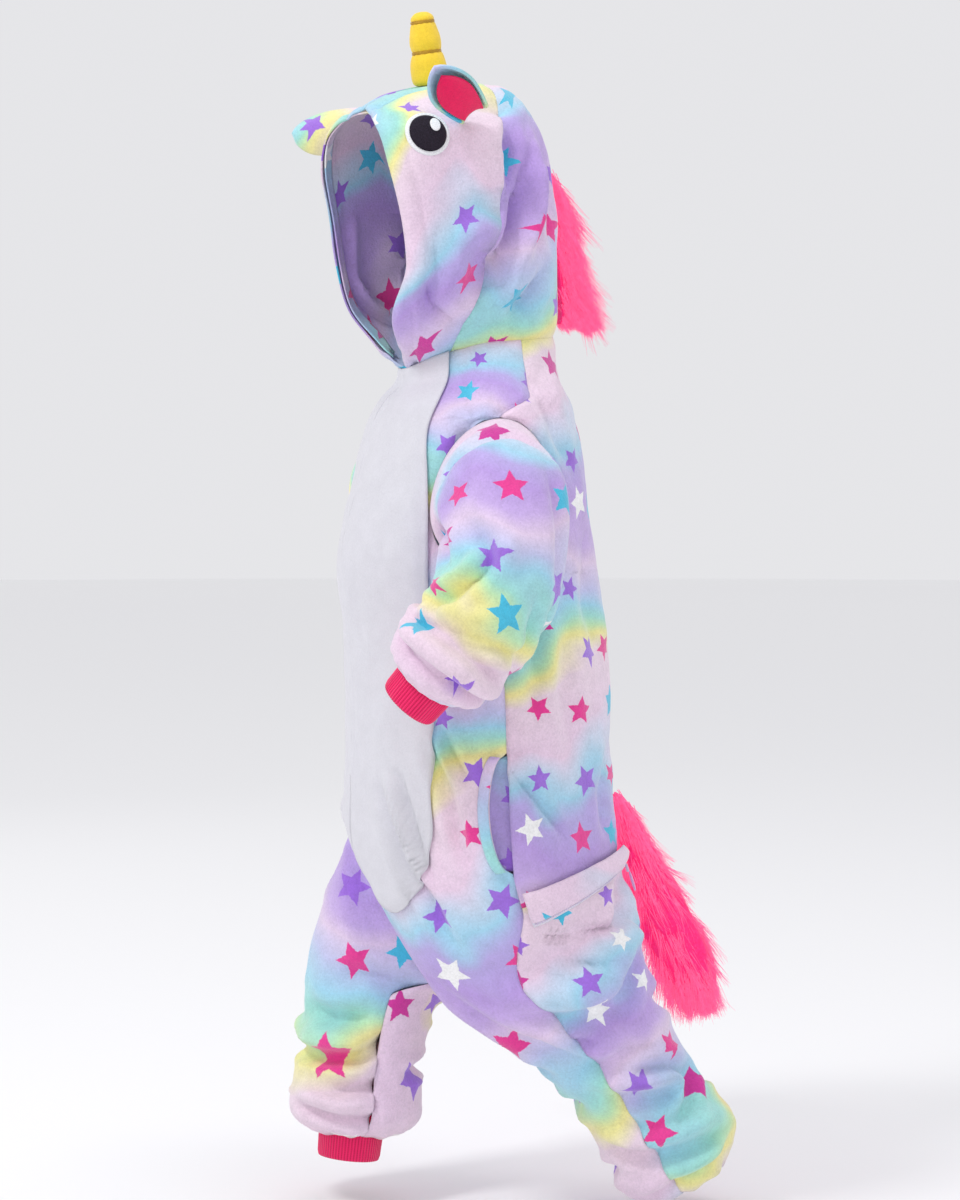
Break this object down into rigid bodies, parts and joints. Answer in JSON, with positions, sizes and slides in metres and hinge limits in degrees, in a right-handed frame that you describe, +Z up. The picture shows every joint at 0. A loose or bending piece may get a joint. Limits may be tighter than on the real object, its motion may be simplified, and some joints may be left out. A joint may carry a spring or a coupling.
{
  "type": "child's hooded unicorn onesie, worn form",
  "caption": "Child's plush unicorn onesie: hood with horn, ears and mane, white belly, cuffs, side pockets, drop seat and tail, in a hollow walking form.",
  "frame": {"origin": "middle of the shoulders at the base of the neck, where the wearer holds the garment up", "axes": "+Z up, -Y the way the chest faces, +X the wearer's left"},
  "size_m": [0.5258, 0.4523, 1.2151],
  "materials": {
    "plush_print": "pastel printed coral-fleece plush",
    "white_fleece": "white plush",
    "rib_pink": "knitted rib",
    "lining_pink": "hot pink plush",
    "felt_white": "felt",
    "felt_black": "felt",
    "zip_tape": "woven tape",
    "zip_plastic": "moulded",
    "horn_plush": "yellow plush",
    "gold_thread": "thick thread",
    "fur_pink": "long pile faux fur"
  },
  "bodies": {
    "garment": {"front_left": "plush_print", "back_left": "plush_print", "seat_left": "plush_print", "sleeve_left": "plush_print", "pocket_bag_left": "plush_print", "pocket_welt_left": "plush_print", "hood_face_left": "plush_print", "hood_back_left": "plush_print", "ear_outer_left": "plush_print", "belly_left": "white_fleece", "wrist_cuff_left": "rib_pink", "ankle_cuff_left": "rib_pink", "ear_lining_left": "lining_pink", "eye_white_left": "felt_white", "eye_glint_left": "felt_white", "eye_pupil_left": "felt_black", "front_right": "plush_print", "back_right": "plush_print", "seat_right": "plush_print", "sleeve_right": "plush_print", "pocket_bag_right": "plush_print", "pocket_welt_right": "plush_print", "hood_face_right": "plush_print", "hood_back_right": "plush_print", "ear_outer_right": "plush_print", "belly_right": "white_fleece", "wrist_cuff_right": "rib_pink", "ankle_cuff_right": "rib_pink", "ear_lining_right": "lining_pink", "eye_white_right": "felt_white", "eye_glint_right": "felt_white", "eye_pupil_right": "felt_black", "hood_strip": "plush_print", "hood_facing": "plush_print", "seat_welt": "plush_print", "front_placket": "white_fleece", "seat_zip": "zip_tape", "zip_slider": "zip_plastic", "horn": "horn_plush", "horn_thread_lower": "gold_thread", "horn_thread_upper": "gold_thread", "mane": "fur_pink", "tail": "fur_pink"},
    "pull": {"zip_pull": "zip_plastic"}
  },
  "joints": [
    {"name": "zip_pull_swing", "type": "hinge", "parent": "garment", "child": "pull", "pos_m": [0.07425, 0.12744, -0.52503], "axis": [0.9742, -0.1947, 0.1141], "range_deg": [0, 150]}
  ]
}
